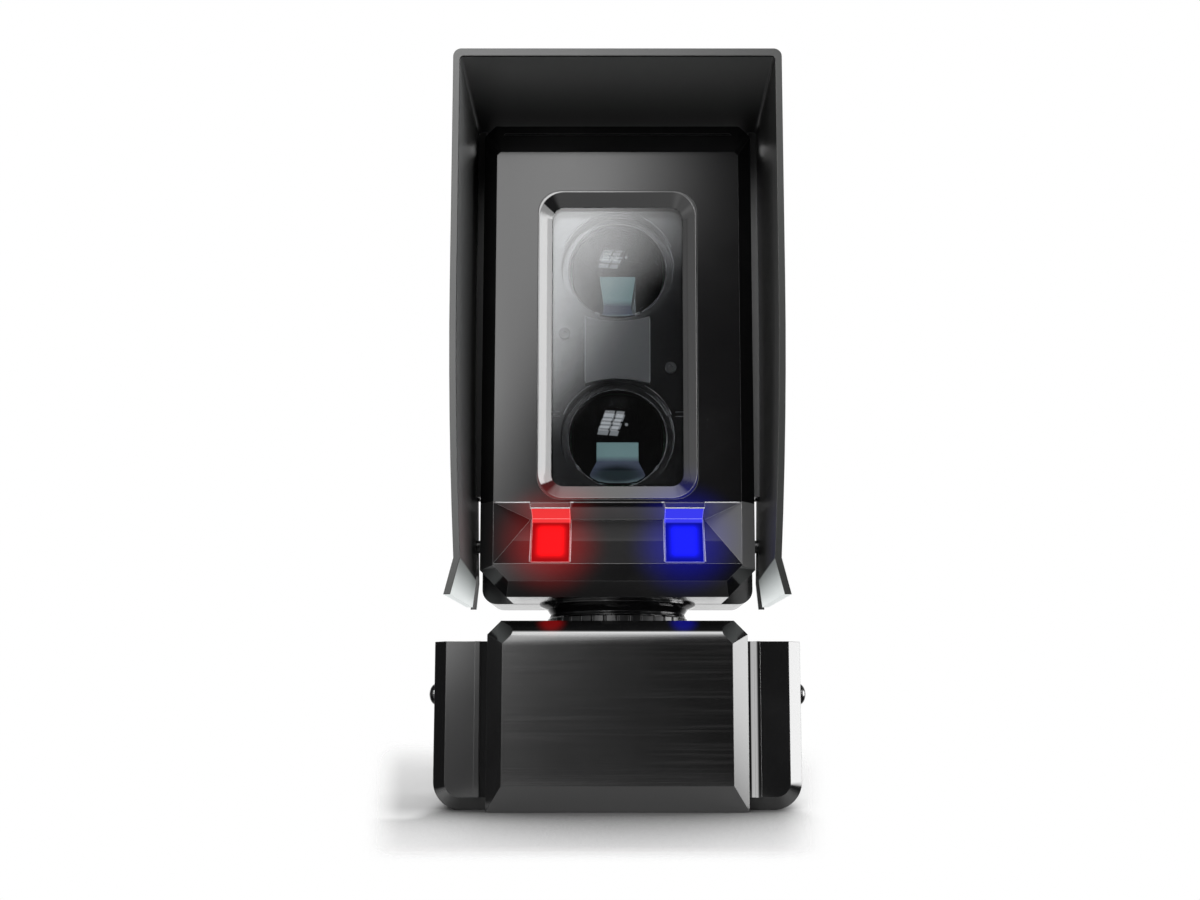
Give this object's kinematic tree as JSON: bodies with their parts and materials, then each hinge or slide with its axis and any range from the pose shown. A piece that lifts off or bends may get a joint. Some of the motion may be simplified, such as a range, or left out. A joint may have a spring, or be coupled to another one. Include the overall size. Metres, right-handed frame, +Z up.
{
  "type": "through-beam photo eye",
  "caption": "Hooded through-beam gate photo eye: lensed sensor head with window, lamp notch and sliding visor, on a swivel neck over a wall-mounted wiring base.",
  "frame": {"origin": "middle of the wall face, at half the height of the base", "axes": "+Y into the wall, so the lenses look along -Y; +Z up; +X to the right as seen from the front"},
  "size_m": [0.0762, 0.074, 0.1399],
  "materials": {
    "base_black": "fine-grained black moulding, satin",
    "plate_black": "plain black moulding",
    "seal_rubber": "soft black rubber",
    "screw_black": "blackened steel",
    "screw_dark": "dark zinc, small turned head",
    "screw_steel": "plain zinc",
    "terminal_grey": "grey connector moulding",
    "wire_sleeve": "dark grey wire sleeve",
    "neck_gloss": "polished black, self-lubricating",
    "washer_white": "slippery white washer",
    "head_black": "fine-grained black moulding, satin",
    "shell_black": "fine-grained black moulding, satin",
    "bezel_black": "smooth satin black slope",
    "window_smoke": "clear window with a faint smoke tint",
    "carrier_black": "dead black moulding",
    "lens_clear": "clear moulded lens",
    "ring_black": "smooth black ring",
    "block_black": "smooth black block",
    "board_green": "green solder mask",
    "chip_teal": "dark teal chip package",
    "heater_ceramic": "white ceramic body",
    "pipe_red": "clear light pipe lit red",
    "led_red": "lit red chip",
    "pipe_blue": "clear light pipe lit blue",
    "led_blue": "lit blue chip",
    "hood_black": "smooth black sheet, satin inside",
    "rail_black": "black moulding"
  },
  "bodies": {
    "base": {"base_cover": "base_black", "wall_plate": "plate_black", "base_seal": "seal_rubber", "side_screws": "screw_black", "terminal_block": "terminal_grey", "terminal_screws": "screw_steel", "cable_grommet": "seal_rubber", "wire_harness": "wire_sleeve", "index_ring": "neck_gloss"},
    "head": {"neck": "neck_gloss", "neck_seal_ring": "seal_rubber", "friction_washer": "washer_white", "retaining_ring": "screw_steel", "neck_screws": "screw_steel", "front_shell": "head_black", "rear_shell": "shell_black", "shell_seal": "seal_rubber", "shell_screws": "screw_steel", "bezel": "bezel_black", "window": "window_smoke", "window_gasket": "seal_rubber", "optics_carrier": "carrier_black", "carrier_posts": "carrier_black", "lower_lens": "lens_clear", "lower_lens_ring": "ring_black", "upper_lens": "lens_clear", "upper_lens_ring": "ring_black", "centre_block": "block_black", "carrier_screws": "screw_dark", "circuit_board": "board_green", "board_screws": "screw_steel", "ir_receiver": "chip_teal", "ir_emitter": "chip_teal", "heater_resistor": "heater_ceramic", "board_connector": "terminal_grey", "red_light_pipe": "pipe_red", "red_led": "led_red", "blue_light_pipe": "pipe_blue", "blue_led": "led_blue", "lamp_board": "board_green", "lamp_posts": "carrier_black", "lamp_screws": "screw_steel", "hood_rails": "rail_black", "hood_screws": "screw_black"},
    "hood": {"hood": "hood_black"}
  },
  "joints": [
    {"name": "head_pan", "type": "hinge", "parent": "base", "child": "head", "pos_m": [0, -0.0315, 0.0185], "axis": [0, 0, 1], "range_deg": [-90, 90]},
    {"name": "hood_lift", "type": "slide", "parent": "head", "child": "hood", "axis": [0, 0, 1], "range_m": [0, 0.07]}
  ]
}
